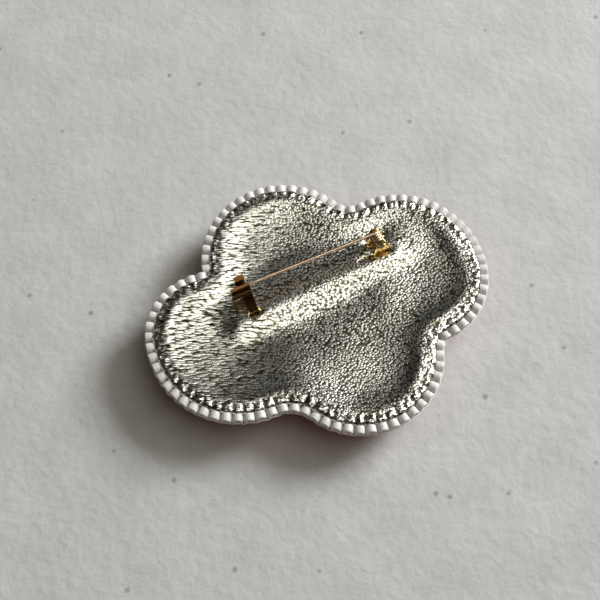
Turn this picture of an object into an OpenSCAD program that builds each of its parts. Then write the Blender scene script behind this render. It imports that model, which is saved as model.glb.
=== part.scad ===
// Beaded brooch in the shape of a four-lobed cloud, lying on its beaded front.
// X runs along its length, Y across it, and Z up from the surface it lies on to
// the leather back with its bar pin. The origin is under the middle of the outline.

/* [Edge row] */
// Outer diameter of the edge beads
edge_bead_d = 2.2; // [2:0.1:2.4]
// Length of the edge beads, which point outwards
edge_bead_l = 1.6; // [1.4:0.1:1.8]
// Height of the middle of the edge row
edge_h = 8.4; // [8:0.1:9]

/* [Front] */
// How far in from the edge row the flat crown starts
crown_inset = 10.5; // [9:0.5:11]

/* [Leather back] */
// Thickness of the leather
leather_t = 1; // [1:0.1:1.3]
// How far the middle dips below the rim
back_dip = 0.5; // [0.2:0.1:0.8]
// Width of the fall round the bar under the leather
bar_fall = 3; // [2:0.5:4]

/* [Bar pin] */
// Length of the bar under the leather
bar_l = 35; // [34:0.5:36]
// Width of the bar
bar_w = 5; // [4.8:0.1:5.6]
// Thickness of the metal strip
strip_t = 0.5; // [0.4:0.05:0.6]
// Turn of the bar from the length of the brooch, in degrees
bar_turn = 27; // [20:1:34]
// Lean of the pin away from the front edge, in degrees
bar_lean = 8; // [4:1:10]
// Distance from the hinge to the catch
pin_span = 28.6; // [28:0.1:29]
// Diameter of the needle's wire
wire_d = 0.6; // [0.54:0.02:0.62]
// Height of the hinge rivet above the bar
hinge_h = 3.4; // [3.2:0.1:4]

/* [Catch] */
// Outer radius of the catch ring
ring_r = 2.35; // [2.3:0.05:2.6]
// Width of the catch ring along the needle
ring_w = 1.9; // [1.7:0.1:2.1]
// Height of the ring's middle above the bar
catch_h = 4.6; // [4.4:0.1:5]
// How far the ring's middle lies from the middle of the bar
catch_side = 2.3; // [1.8:0.1:2.6]
// Width of the sleeve's tongue outside the ring
tongue_w = 1.9; // [1.6:0.1:2.2]

/* [Hidden] */
$fn = 48;

// Clearance between pieces that lie against each other
gap = 0.05;
// Play between a turning piece and what carries it
play = 0.05;

// The outline through the middle of the edge row, counter-clockwise. Each lobe is a
// circle, and join is the radius of the arc that leads on to the next lobe: a notch
// between two lobes, or with a minus sign the flatter back of one long lobe.
LX = 0;
LY = 1;
LR = 2;
JOIN = 3;
LOBES = [
    // x, y, radius, join
    [-20.7, -6.2, 12.4, -22],
    [-15.3, -6.1, 17.5, 6.8],
    [8, -10.4, 15.5, 3.8],
    [18.8, 6.4, 14.3, -19],
    [16.4, 8.1, 15.6, 4.8],
    [-7, 10.3, 15.6, 1.2]
];
lobe_n = len(LOBES);

// Arcs of the outline, each [centre, radius, start, sweep, side], where side is 1 on
// an arc that bulges outwards and -1 in a notch
CENTRE = 0;
RADIUS = 1;
START = 2;
SWEEP = 3;
SIDE = 4;

function unit(v) = v / norm(v);
function angle_of(v) = atan2(v.y, v.x);
function turn(a) = a < 0 ? turn(a + 360) : a >= 360 ? turn(a - 360) : a;
function lobe_c(i) = [LOBES[i % lobe_n][LX], LOBES[i % lobe_n][LY]];
function lobe_r(i) = LOBES[i % lobe_n][LR];
function join_r(i) = LOBES[i % lobe_n][JOIN];
function join_c(i) =
    let (
        a = lobe_c(i),
        along = lobe_c(i + 1) - a,
        d = norm(along),
        ra = lobe_r(i) + join_r(i),
        rb = lobe_r(i + 1) + join_r(i),
        x = (ra * ra - rb * rb + d * d) / (2 * d),
        h = sign(join_r(i)) * sqrt(ra * ra - x * x),
        u = along / d
    )
    a + u * x + [u.y, -u.x] * h;
function touch(lobe, join) =
    lobe_c(lobe) + unit(join_c(join) - lobe_c(lobe)) * lobe_r(lobe) * sign(join_r(join));

function lobe_arc(i) =
    let (
        before = (i + lobe_n - 1) % lobe_n,
        a0 = angle_of(touch(i, before) - lobe_c(i)),
        a1 = angle_of(touch(i, i) - lobe_c(i))
    )
    [lobe_c(i), lobe_r(i), a0, turn(a1 - a0), 1];
function join_arc(i) =
    let (
        b0 = angle_of(touch(i, i) - join_c(i)),
        b1 = angle_of(touch(i + 1, i) - join_c(i)),
        notch = join_r(i) > 0
    )
    [join_c(i), abs(join_r(i)), b0, notch ? -turn(b0 - b1) : turn(b1 - b0), notch ? -1 : 1];
ARCS = [for (i = [0 : lobe_n - 1]) each [lobe_arc(i), join_arc(i)]];

// Stations round the outline, evenly spaced along a line this far inside it, so that
// the notches have enough of them. Each is [point, outward normal].
station_inset = 4;
ARC_LENGTHS = [for (a = ARCS) abs(a[SWEEP]) * PI / 180 * (a[RADIUS] - a[SIDE] * station_inset)];
function total(v, i = 0) = i < len(v) ? v[i] + total(v, i + 1) : 0;
function station(s, i = 0) =
    s <= ARC_LENGTHS[i] || i == len(ARCS) - 1
        ? let (
            arc = ARCS[i],
            a = arc[START] + arc[SWEEP] * s / ARC_LENGTHS[i],
            dir = [cos(a), sin(a)]
        )
        [arc[CENTRE] + arc[RADIUS] * dir, arc[SIDE] * dir]
        : station(s - ARC_LENGTHS[i], i + 1);
function stations(n) =
    let (length = total(ARC_LENGTHS))
    [for (k = [0 : n - 1]) station(k * length / n)];

// Height of the leather's outer face. It rolls down at the rim, dips towards the
// middle, and lies flat on the bar, which leans.
rim_roll = 0.5;
rim_roll_w = 1.5;
dip_w = 7;
leather_inset = edge_bead_l / 2 + gap;
rim_top = edge_h + edge_bead_d / 2 - 0.05;
hinge_at = [12, 12.6, 8.1];
bar_past_hinge = 3;

function ease(x) = let (t = max(0, min(1, x))) t * t * (3 - 2 * t);
function bar_xy(p) =
    let (v = [p.x - hinge_at.x, p.y - hinge_at.y])
    [v.x * cos(bar_turn) + v.y * sin(bar_turn), v.y * cos(bar_turn) - v.x * sin(bar_turn)];
function off_bar(q) =
    norm([max(0, q.x - bar_past_hinge, bar_past_hinge - bar_l - q.x), max(0, abs(q.y) - bar_w / 2)]);
function back_z(p, inset) =
    let (
        e = inset - leather_inset,
        q = bar_xy(p),
        roll = rim_roll * pow(max(0, 1 - e / rim_roll_w), 2),
        dish = rim_top - roll - back_dip * ease(e / dip_w),
        lean = max(-bar_w / 2, min(bar_w / 2, q.y)) * tan(bar_lean),
        over_bar = hinge_at.z + (leather_t + gap) / cos(bar_lean) - lean,
        share = 1 - ease(off_bar(q) / bar_fall)
    )
    dish + (over_bar - dish) * share;

// Rings of points at given insets from the outline, and inside the last of them
// rings that shrink towards the middle
station_n = 80;
STATIONS = stations(station_n);
BACK_INSETS = [leather_inset, 1.2, 1.9, 2.9, 4.3, 6, 8, 10.5];
INNER_SCALES = [0.84, 0.68, 0.52, 0.36, 0.18];
last_inset = BACK_INSETS[len(BACK_INSETS) - 1];
function inset_point(s, inset) = s[0] - s[1] * inset;
function back_point(p, inset, drop) = [p.x, p.y, back_z(p, inset) - drop];
function back_ring(inset, drop) =
    [for (s = STATIONS) back_point(inset_point(s, inset), inset, drop)];
function inner_ring(scale, drop) =
    [for (s = STATIONS) back_point(inset_point(s, last_inset) * scale, last_inset, drop)];
function back_rings(drop) = concat(
    [for (d = BACK_INSETS) back_ring(d, drop)],
    [for (k = INNER_SCALES) inner_ring(k, drop)]
);
function back_middle(drop) = back_point([0, 0], last_inset, drop);
function level_ring(inset, z) = [for (s = STATIONS) let (p = inset_point(s, inset)) [p.x, p.y, z]];
function reversed(v) = [for (i = [len(v) - 1 : -1 : 0]) v[i]];

// Closed skin through rings that run from a lowest point out, up and in to a top point.
// Each four-sided gap is split along the same line on the way out and on the way in,
// so that two skins with the same rings lie against each other.
function narrows(ring, next) = norm([next[0].x, next[0].y]) < norm([ring[0].x, ring[0].y]);
module skin(low, rings, top) {
    n = len(rings[0]);
    last = 1 + len(rings) * n;
    polyhedron(
        points = concat([low], [for (r = rings) each r], [top]),
        faces = [
            for (k = [0 : n - 1]) let (k1 = (k + 1) % n) [0, 1 + k, 1 + k1],
            for (r = [0 : len(rings) - 2], k = [0 : n - 1])
                let (
                    a = 1 + r * n,
                    b = a + n,
                    k1 = (k + 1) % n
                )
                each narrows(rings[r], rings[r + 1])
                    ? [[a + k, b + k, a + k1], [b + k, b + k1, a + k1]]
                    : [[a + k, b + k, b + k1], [a + k, b + k1, a + k1]],
            for (k = [0 : n - 1]) let (k1 = (k + 1) % n) [last, last - n + k1, last - n + k]
        ],
        convexity = 6
    );
}

// The pin's own frame: the middle of the bar's upper face under the hinge, with X
// from the catch to the hinge and Z out of the bar
module on_bar() {
    translate(hinge_at)
        rotate([0, 0, bar_turn])
            rotate([-bar_lean, 0, 0])
                children();
}

// Plate in the bar's frame, upright and along the bar, or upright and across it
module along_plate(thick) {
    rotate([90, 0, 0])
        linear_extrude(thick, center = true)
            children();
}
module across_plate(thick) {
    rotate([90, 0, 90])
        linear_extrude(thick, center = true)
            children();
}

// Bar with round ends, grown by a margin where it is used as a cutter
clear_above = 3;
module bar_outline(grow) {
    r = bar_w / 2 + grow;
    x0 = bar_past_hinge - bar_l + bar_w / 2;
    x1 = bar_past_hinge - bar_w / 2;
    translate([x0, -r])
        square([x1 - x0, 2 * r]);
    for (x = [x0, x1])
        translate([x, 0])
            circle(r);
}
module bar_cutter(up) {
    translate([0, 0, -strip_t - 2 * gap])
        linear_extrude(strip_t + 2 * gap + up)
            bar_outline(2 * gap);
}

ear_y = 1.55;
ear_r = 1.25;
ear_foot_w = 3.8;
ear_foot_x = 0.2;
foot_y = -1.9;
foot_w = 0.6;

// Slits in the leather: one for each ear, the near one cut longer, and one for the catch
slit_margin = 0.15;
slit_depth = 3;
long_cut = 3.2;
module slits() {
    w = strip_t + 2 * slit_margin;
    foot_low = ear_foot_x - ear_foot_w / 2 - slit_margin;
    foot_len = ear_foot_w + 2 * slit_margin;
    for (side = [-1, 1])
        translate([foot_low, side * ear_y - w / 2, -slit_depth / 2])
            cube([foot_len, w, slit_depth]);
    translate([foot_low - long_cut, -ear_y - w / 4, -slit_depth / 2])
        cube([long_cut + 1, w / 2, slit_depth]);
    translate([-pin_span - ring_w / 2 - slit_margin, foot_y - foot_w / 2 - slit_margin, -slit_depth / 2])
        cube([ring_w + 2 * slit_margin, foot_w + 2 * slit_margin, slit_depth]);
}

// Height of the front's skin at a given inset from the edge row: nearly upright under
// the row, then round to the flat crown
under_row = edge_h - edge_bead_d / 2 - 0.15;
FRONT_INSET = 0;
FRONT_SHARE = 1;
FRONT = [
    // share of the way in to the crown, share of the height
    [1, 0],
    [0.72, 0.05],
    [0.5, 0.15],
    [0.32, 0.3],
    [0.18, 0.49],
    [0.08, 0.69],
    [0.02, 0.88],
    [0.01, 0.97]
];
side_inset = 0.2;
shoulder_inset = 0.45;
CROWN_SCALES = [0.35, 0.7];
module beaded_front() {
    outer = [
        for (f = FRONT)
            level_ring(side_inset + f[FRONT_INSET] * (crown_inset - side_inset), f[FRONT_SHARE] * under_row)
    ];
    shoulder = [for (d = [shoulder_inset, leather_inset]) level_ring(d, under_row)];
    crown = [for (k = CROWN_SCALES) [for (p = outer[0]) [p.x * k, p.y * k, 0]]];
    color([0.93, 0.55, 0.33])
        difference() {
            skin(
                [0, 0, 0],
                concat(crown, outer, shoulder, back_rings(leather_t + gap)),
                back_middle(leather_t + gap)
            );
            on_bar() bar_cutter(clear_above);
        }
}

// Row of seed beads round the edge, as one closed tube of their outer size
row_sides = 8;
module edge_beads() {
    faces_turn = 180 / row_sides;
    half = [edge_bead_l / 2, edge_bead_d / 2] / cos(faces_turn);
    n = station_n;
    m = row_sides;
    color([0.93, 0.92, 0.9])
        polyhedron(
            points = [
                for (s = STATIONS, j = [0 : m - 1])
                    let (
                        a = faces_turn + j * 360 / m,
                        p = s[0] + s[1] * half.x * cos(a)
                    )
                    [p.x, p.y, edge_h + half.y * sin(a)]
            ],
            faces = [
                for (i = [0 : n - 1], j = [0 : m - 1])
                    let (
                        i1 = (i + 1) % n,
                        j1 = (j + 1) % m
                    )
                    each [
                        [i * m + j, i * m + j1, i1 * m + j1],
                        [i * m + j, i1 * m + j1, i1 * m + j]
                    ]
            ],
            convexity = 6
        );
}

// Leather sheet that closes the back
module leather_back() {
    color([0.72, 0.72, 0.62])
        difference() {
            skin(
                back_middle(leather_t),
                concat(reversed(back_rings(leather_t)), back_rings(0)),
                back_middle(0)
            );
            on_bar() bar_cutter(gap);
            on_bar() slits();
        }
}

// Bar with the two ears of the hinge, the foot of the catch and the ring on it
rivet_r = 0.45;
rivet_fit = 0.02;
ear_foot_h = 1.5;
ear_shoulder_a = 20;
foot_h_in = 1.3;
foot_h_out = 1.7;
foot_joins_low_a = 60;
foot_joins_high_a = 5;
foot_narrows = 0.6;
foot_narrows_h = 2;
mouth_from = 30;
mouth_to = 115;
module ear_shape() {
    difference() {
        union() {
            translate([0, hinge_h])
                circle(ear_r);
            polygon([
                [ear_foot_x - ear_foot_w / 2, -strip_t / 2],
                [ear_foot_x + ear_foot_w / 2, -strip_t / 2],
                [ear_foot_x + ear_foot_w / 2, ear_foot_h],
                [ear_r * cos(ear_shoulder_a), hinge_h + ear_r * sin(ear_shoulder_a)],
                [-ear_r * cos(ear_shoulder_a), hinge_h + ear_r * sin(ear_shoulder_a)],
                [ear_foot_x - ear_foot_w / 2, ear_foot_h]
            ]);
        }
        translate([0, hinge_h])
            circle(rivet_r + rivet_fit);
    }
}
module catch_shape() {
    reach = 2 * ring_r;
    low = [cos(foot_joins_low_a), sin(foot_joins_low_a)] * ring_r;
    high = [cos(foot_joins_high_a), sin(foot_joins_high_a)] * ring_r;
    difference() {
        union() {
            translate([catch_side, catch_h])
                circle(ring_r);
            polygon([
                [foot_y - foot_w / 2, -strip_t / 2],
                [foot_y + foot_w / 2, -strip_t / 2],
                [foot_y + foot_w / 2, foot_h_in],
                [catch_side - low.x, catch_h - low.y],
                [catch_side - high.x, catch_h - high.y],
                [foot_y - foot_w / 2, foot_h_out]
            ]);
        }
        translate([catch_side, catch_h]) {
            circle(ring_r - strip_t - play);
            mouth(mouth_from, mouth_to, reach);
        }
    }
}
module mouth(from, to, reach) {
    polygon([[0, 0], reach * [cos(from), sin(from)], reach * [cos(to), sin(to)]]);
}
module foot_taper() {
    translate([-ring_w / 2, 0, 0])
        along_plate(bar_w)
            polygon([[-1, -1], [foot_narrows, -1], [foot_narrows, 0], [0, foot_narrows_h], [-1, foot_narrows_h]]);
}
module pin_base() {
    color([0.8, 0.6, 0.28])
        on_bar() {
            translate([0, 0, -strip_t])
                linear_extrude(strip_t)
                    bar_outline(0);
            for (side = [-1, 1])
                translate([0, side * ear_y, 0])
                    along_plate(strip_t)
                        ear_shape();
            translate([-pin_span, 0, 0])
                difference() {
                    across_plate(ring_w)
                        catch_shape();
                    foot_taper();
                }
        }
}

// Rivet through both ears, with a low round head outside each
head_r = 0.85;
head_top_r = 0.47;
head_t = 0.35;
module hinge_rivet() {
    outer = ear_y + strip_t / 2 + rivet_fit;
    color([0.85, 0.66, 0.34])
        on_bar()
            translate([0, 0, hinge_h])
                rotate([90, 0, 0]) {
                    cylinder(h = 2 * outer, r = rivet_r, center = true);
                    for (side = [0, 1])
                        mirror([0, 0, side])
                            translate([0, 0, outer])
                                cylinder(h = head_t, r1 = head_r, r2 = head_top_r);
                }
}

// Needle: the wire is coiled round the rivet, leaves the top of the coil and ends in
// a long point inside the catch. Its shaft is a hair thinner than the coiled wire.
coil_r = 0.86;
coil_turns = 4;
coil_core_short = 0.2;
tip_past_ring = 0.9;
point_l = 5;
point_r = 0.07;
shaft_fit = 0.01;
module pin_needle() {
    wire_r = wire_d / 2;
    shaft_r = wire_r - shaft_fit;
    wire_y = (coil_turns - 1) / 2 * wire_d;
    coil_w = coil_turns * wire_d;
    start = [0, wire_y, hinge_h + coil_r];
    run = [-pin_span, catch_side, catch_h] - start;
    length = norm(run) + ring_w / 2 + tip_past_ring;
    color([0.86, 0.66, 0.42])
        on_bar() {
            translate([0, 0, hinge_h])
                rotate([90, 0, 0]) {
                    for (k = [0 : coil_turns - 1])
                        translate([0, 0, k * wire_d - wire_y])
                            rotate_extrude()
                                translate([coil_r, 0])
                                    circle(wire_r);
                    difference() {
                        cylinder(h = coil_w - coil_core_short, r = coil_r, center = true);
                        cylinder(h = coil_w, r = rivet_r + play, center = true);
                    }
                }
            translate(start)
                rotate([0, 90 - asin(run.z / norm(run)), atan2(run.y, run.x)]) {
                    cylinder(h = length - point_l, r = shaft_r);
                    translate([0, 0, length - point_l])
                        cylinder(h = point_l, r1 = shaft_r, r2 = point_r);
                }
        }
}

// Sleeve that turns in the catch ring. Its slot lines up with the ring's mouth when it
// is open, and the tongue outside the ring, which is cut slantwise, turns it shut.
sleeve_wall = 0.45;
slot_from = 34;
slot_to = 111;
tongue_r = 2.2;
tongue_slant = 42;
tongue_top = 0.8;
module catch_sleeve() {
    sleeve_r = ring_r - strip_t - 2 * play;
    inner_x = -ring_w / 2 - gap;
    long = 3 * (ring_w + tongue_w);
    color([0.78, 0.57, 0.26])
        on_bar()
            translate([-pin_span, catch_side, catch_h])
                difference() {
                    union() {
                        translate([inner_x, 0, 0])
                            rotate([0, 90, 0])
                                cylinder(h = ring_w + gap, r = sleeve_r);
                        difference() {
                            translate([inner_x - tongue_w, 0, 0])
                                rotate([0, 90, 0])
                                    cylinder(h = tongue_w, r = tongue_r);
                            translate([inner_x, tongue_top, 0])
                                rotate([0, 0, 90 + tongue_slant])
                                    translate([0, -long, -long])
                                        cube(2 * long);
                        }
                    }
                    rotate([0, 90, 0])
                        cylinder(h = long, r = sleeve_r - sleeve_wall, center = true);
                    across_plate(long)
                        mouth(slot_from, slot_to, 2 * tongue_r);
                }
}

beaded_front();
edge_beads();
leather_back();
pin_base();
hinge_rivet();
pin_needle();
catch_sleeve();
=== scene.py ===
import math
import random

import bmesh
import bpy
import numpy as np
from mathutils import Matrix, Vector, noise
from mathutils.kdtree import KDTree


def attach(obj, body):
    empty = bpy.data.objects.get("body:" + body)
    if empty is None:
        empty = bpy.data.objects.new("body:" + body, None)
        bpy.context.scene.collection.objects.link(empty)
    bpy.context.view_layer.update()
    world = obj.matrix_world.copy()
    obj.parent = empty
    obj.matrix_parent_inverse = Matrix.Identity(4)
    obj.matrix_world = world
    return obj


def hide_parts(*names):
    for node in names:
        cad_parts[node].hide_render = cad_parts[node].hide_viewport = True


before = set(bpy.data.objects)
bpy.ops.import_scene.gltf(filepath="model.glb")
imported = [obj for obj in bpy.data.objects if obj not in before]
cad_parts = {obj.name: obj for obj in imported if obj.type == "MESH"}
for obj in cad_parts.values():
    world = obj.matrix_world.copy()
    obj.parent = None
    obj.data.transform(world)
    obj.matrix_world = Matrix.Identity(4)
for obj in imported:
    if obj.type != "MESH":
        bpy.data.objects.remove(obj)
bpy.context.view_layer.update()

# Camera
# It looks down on the back of the brooch from the front edge, at 66 degrees above
# the table, as the photo does. The aim is the point at the middle of the picture.
MM = 0.001
PICTURE_PX = 600
FOCAL_PX = 1212
SENSOR = 36.0
CAMERA_ELEVATION = math.radians(66)
CAMERA_DISTANCE = 240 * MM
CAMERA_AIM = Vector((-3.634, 1.092, 8.4)) * MM
NEAREST = 5 * MM
FARTHEST = 10

bpy.ops.object.camera_add()
camera = bpy.context.object
camera.name = "photo_camera"
camera.data.sensor_width = SENSOR
camera.data.lens = SENSOR * FOCAL_PX / PICTURE_PX
camera.data.clip_start = NEAREST
camera.data.clip_end = FARTHEST
back_off = Vector((0, -math.cos(CAMERA_ELEVATION), math.sin(CAMERA_ELEVATION)))
camera.location = CAMERA_AIM + back_off * CAMERA_DISTANCE
camera.rotation_euler = (-back_off).to_track_quat("-Z", "Y").to_euler()
bpy.context.scene.camera = camera
bpy.context.scene.view_settings.view_transform = "Standard"

# Table
# A sheet of plain pale paper that the brooch lies on, a little mottled and specked.
# It isn't part of the object.
PAPER_SIZE = 1600 * MM
PAPER_DARK = (0.414, 0.42, 0.41)
PAPER_PALE = (0.498, 0.51, 0.502)
PAPER_ROUGHNESS = 0.9
PAPER_TOOTH = 0.4 * MM
# Share of the paper's own tone that is left in the middle of a speck
SPECK_TONE = 0.62

# Sockets of a Mix node for colours
SHARE, COLOUR_1, COLOUR_2, MIXED_COLOUR = 0, 6, 7, 2


def new_material(name):
    """New material, its nodes, the call that links them, and its surface shader."""
    material = bpy.data.materials.new(name)
    material.use_nodes = True
    nodes = material.node_tree.nodes
    return material, nodes, material.node_tree.links.new, nodes["Principled BSDF"]


def add_node(nodes, kind, **settings):
    """New shader node. A setting that starts with a capital is an unlinked input."""
    node = nodes.new("ShaderNode" + kind)
    for name, value in settings.items():
        if name[0].isupper():
            node.inputs[name.replace("_", " ")].default_value = value
        else:
            setattr(node, name, value)
    return node


def mottle_group():
    """Node group: soft spots all over, from 0 where the noise is at From to 1 at To."""
    group = bpy.data.node_groups.new("mottle", "ShaderNodeTree")
    for name in ("Scale", "Detail", "Roughness", "From", "To"):
        group.interface.new_socket(name, in_out="INPUT", socket_type="NodeSocketFloat")
    group.interface.new_socket("Pale", in_out="OUTPUT", socket_type="NodeSocketFloat")
    nodes, link = group.nodes, group.links.new
    asked = nodes.new("NodeGroupInput")
    given = nodes.new("NodeGroupOutput")
    where = add_node(nodes, "TexCoord")
    spots = add_node(nodes, "TexNoise")
    link(where.outputs["Object"], spots.inputs["Vector"])
    for name in ("Scale", "Detail", "Roughness"):
        link(asked.outputs[name], spots.inputs[name])
    pale = add_node(nodes, "MapRange")
    link(spots.outputs["Fac"], pale.inputs["Value"])
    link(asked.outputs["From"], pale.inputs["From Min"])
    link(asked.outputs["To"], pale.inputs["From Max"])
    link(pale.outputs["Result"], given.inputs["Pale"])
    return group


mottle = mottle_group()


def mottled(nodes, link, dark, pale, **pattern):
    """Colour that is mottled between a dark and a pale tone."""
    spots = add_node(nodes, "Group", node_tree=mottle, **pattern)
    tone = add_node(nodes, "Mix", data_type="RGBA")
    tone.inputs[COLOUR_1].default_value = (*dark, 1)
    tone.inputs[COLOUR_2].default_value = (*pale, 1)
    link(spots.outputs["Pale"], tone.inputs[SHARE])
    return tone.outputs[MIXED_COLOUR]


bpy.ops.object.select_all(action="DESELECT")
bpy.ops.mesh.primitive_plane_add(size=PAPER_SIZE)
paper = bpy.context.object
paper.name = "paper"
pale_paper, nodes, link, surface = new_material("pale_paper")
where = add_node(nodes, "TexCoord")
fibres = add_node(nodes, "TexNoise", Scale=500, Detail=6)
specks = add_node(nodes, "TexVoronoi", Scale=130)
link(where.outputs["Object"], fibres.inputs["Vector"])
link(where.outputs["Object"], specks.inputs["Vector"])
tone = mottled(
    nodes, link, PAPER_DARK, PAPER_PALE, Scale=90, Detail=7, Roughness=0.65, From=0.3, To=0.72
)
speck_tone = add_node(nodes, "MapRange", From_Min=0.045, From_Max=0.09, To_Min=SPECK_TONE, To_Max=1)
link(specks.outputs["Distance"], speck_tone.inputs["Value"])
speckled = add_node(nodes, "Mix", data_type="RGBA", blend_type="MULTIPLY")
speckled.inputs[SHARE].default_value = 1
link(tone, speckled.inputs[COLOUR_1])
link(speck_tone.outputs["Result"], speckled.inputs[COLOUR_2])
link(speckled.outputs[MIXED_COLOUR], surface.inputs["Base Color"])
bump = add_node(nodes, "Bump", Strength=0.6, Distance=PAPER_TOOTH)
link(fibres.outputs["Fac"], bump.inputs["Height"])
link(bump.outputs["Normal"], surface.inputs["Normal"])
surface.inputs["Roughness"].default_value = PAPER_ROUGHNESS
paper.data.materials.append(pale_paper)

# Light
# One soft lamp from the right and behind, as from a window. The rest of the room is
# dim, with broad warm glows that the foil and the gold mirror. The lamp's bearing is
# counted from +Y towards +X.
WINDOW_BEARING = math.radians(57)
WINDOW_ELEVATION = math.radians(33)
# Distance and width in metres, and power in watts
WINDOW_DISTANCE = 1.2
WINDOW_SIZE = 0.5
WINDOW_POWER = 21
WINDOW_COLOUR = (0.965, 0.98, 1)

bpy.ops.object.light_add(type="AREA")
window = bpy.context.object
window.name = "window"
away = Vector((
    math.sin(WINDOW_BEARING) * math.cos(WINDOW_ELEVATION),
    math.cos(WINDOW_BEARING) * math.cos(WINDOW_ELEVATION),
    math.sin(WINDOW_ELEVATION),
))
window.location = away * WINDOW_DISTANCE
window.rotation_euler = away.to_track_quat("Z", "Y").to_euler()
window.data.size = WINDOW_SIZE
window.data.energy = WINDOW_POWER
window.data.color = WINDOW_COLOUR

# Soft glows of the room as direction, radiance, and the degrees from that direction
# where the glow is full and where it ends: the lit part of the ceiling, the wall above
# the window, the rest of the ceiling round both, and the walls all round, low down
GLOWS = (
    ((0.31, -0.07, 0.948), 1.46, 14, 24),
    ((0.5, 0.3, 0.812), 1.5, 12, 20),
    ((0.4, 0.1, 0.911), 0.15, 26, 44),
    ((0, 0, 1), 0.3, 86, 68),
)
GLOW_TINT = (1, 0.92, 0.82)
DIM = (0.027, 0.024, 0.02)

room = bpy.data.worlds.new("dim_room")
bpy.context.scene.world = room
room.use_nodes = True
nodes, link = room.node_tree.nodes, room.node_tree.links.new
toward = add_node(nodes, "TexCoord")
lit = None
for direction, radiance, full_at, ends_at in GLOWS:
    facing = add_node(nodes, "VectorMath", operation="DOT_PRODUCT")
    facing.inputs[1].default_value = direction
    link(toward.outputs["Generated"], facing.inputs[0])
    glow = add_node(nodes, "MapRange", interpolation_type="SMOOTHSTEP", To_Max=radiance)
    glow.inputs["From Min"].default_value = math.cos(math.radians(ends_at))
    glow.inputs["From Max"].default_value = math.cos(math.radians(full_at))
    link(facing.outputs["Value"], glow.inputs["Value"])
    if lit is None:
        lit = glow.outputs["Result"]
    else:
        both = add_node(nodes, "Math", operation="ADD")
        link(lit, both.inputs[0])
        link(glow.outputs["Result"], both.inputs[1])
        lit = both.outputs["Value"]
tinted = add_node(nodes, "VectorMath", operation="MULTIPLY_ADD")
tinted.inputs[1].default_value = GLOW_TINT
tinted.inputs[2].default_value = DIM
link(lit, tinted.inputs[0])
link(tinted.outputs["Vector"], nodes["Background"].inputs["Color"])
nodes["Background"].inputs["Strength"].default_value = 1

# Front cloth
# The padded dome that the front's beads are sewn on, covered with dyed cloth. It
# follows the outline and is flat in the middle, where the brooch lies on its beads.
# Sizes and places on the brooch are in mm.

# Lobes of the outline through the middle of the edge row: x, y, radius, and the
# radius of the arc that leads on to the next, with a minus sign where it bulges out
LOBES = (
    (-20.7, -6.2, 12.4, -22),
    (-15.3, -6.1, 17.5, 6.8),
    (8, -10.4, 15.5, 3.8),
    (18.8, 6.4, 14.3, -19),
    (16.4, 8.1, 15.6, 4.8),
    (-7, 10.3, 15.6, 1.2),
)
# Least radius that an arc keeps where the outline is moved in or out
LEAST_RADIUS = 0.05


def join_centre(i):
    """Centre of the arc that joins lobe i to the next one."""
    x0, y0, r0, join = LOBES[i]
    x1, y1, r1, _ = LOBES[(i + 1) % len(LOBES)]
    here, apart = Vector((x0, y0)), Vector((x1 - x0, y1 - y0))
    span, from_here, from_next = apart.length, r0 + join, r1 + join
    along = (from_here * from_here - from_next * from_next + span * span) / (2 * span)
    aside = math.copysign(math.sqrt(from_here * from_here - along * along), join)
    way = apart / span
    return here + way * along + Vector((way.y, -way.x)) * aside


def outline_arcs():
    """(centre, radius, start angle, sweep, side) of each arc, side -1 in a notch."""
    arcs = []
    turn = 2 * math.pi
    for i, (x, y, radius, join) in enumerate(LOBES):
        centre, before, after = Vector((x, y)), join_centre(i - 1), join_centre(i)
        to_before = (before - centre) * math.copysign(1, LOBES[i - 1][3])
        to_after = (after - centre) * math.copysign(1, join)
        start = math.atan2(to_before.y, to_before.x)
        end = math.atan2(to_after.y, to_after.x)
        arcs.append((centre, radius, start, (end - start) % turn, 1))
        next_x, next_y, _, _ = LOBES[(i + 1) % len(LOBES)]
        from_here, from_next = centre - after, Vector((next_x, next_y)) - after
        start = math.atan2(from_here.y, from_here.x)
        end = math.atan2(from_next.y, from_next.x)
        if join > 0:
            arcs.append((after, join, start, -((start - end) % turn), -1))
        else:
            arcs.append((after, -join, start, (end - start) % turn, 1))
    return arcs


ARCS = outline_arcs()


def outline_points(count, inset):
    """(point, outward normal) pairs, evenly spaced on the line this far inside."""
    lengths = [
        abs(sweep) * max(radius - side * inset, LEAST_RADIUS) for _, radius, _, sweep, side in ARCS
    ]
    total = sum(lengths)
    found = []
    arc, passed = 0, 0.0
    for k in range(count):
        place = total * k / count
        while place > passed + lengths[arc] and arc < len(ARCS) - 1:
            passed += lengths[arc]
            arc += 1
        centre, radius, start, sweep, side = ARCS[arc]
        angle = start + sweep * (place - passed) / lengths[arc]
        way = Vector((math.cos(angle), math.sin(angle)))
        found.append((centre + way * (radius - side * inset), way * side))
    return found


# Height of the front's skin at its inset from the edge row, as (inset, z)
FRONT_SKIN = (
    (0.45, 7.15), (0.3, 6.94), (0.41, 6.29), (1.02, 4.93), (2.05, 3.5), (3.5, 2.14),
    (5.35, 1.07), (7.62, 0.36), (10.5, 0), (20, 0),
)
# The cloth lies this deep inside the skin, down to this inset, with this many points round
PAD_DEPTH = 1.3
PAD_END = 11
PAD_AROUND = 120
# The pad's upper side under the leather, from the inside out, as (inset, z)
PAD_TOP = (Vector((3.2, 7.1)), Vector((2.2, 7.8)), Vector((1.05, 7.8)), Vector((1.0, 7.2)))


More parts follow.
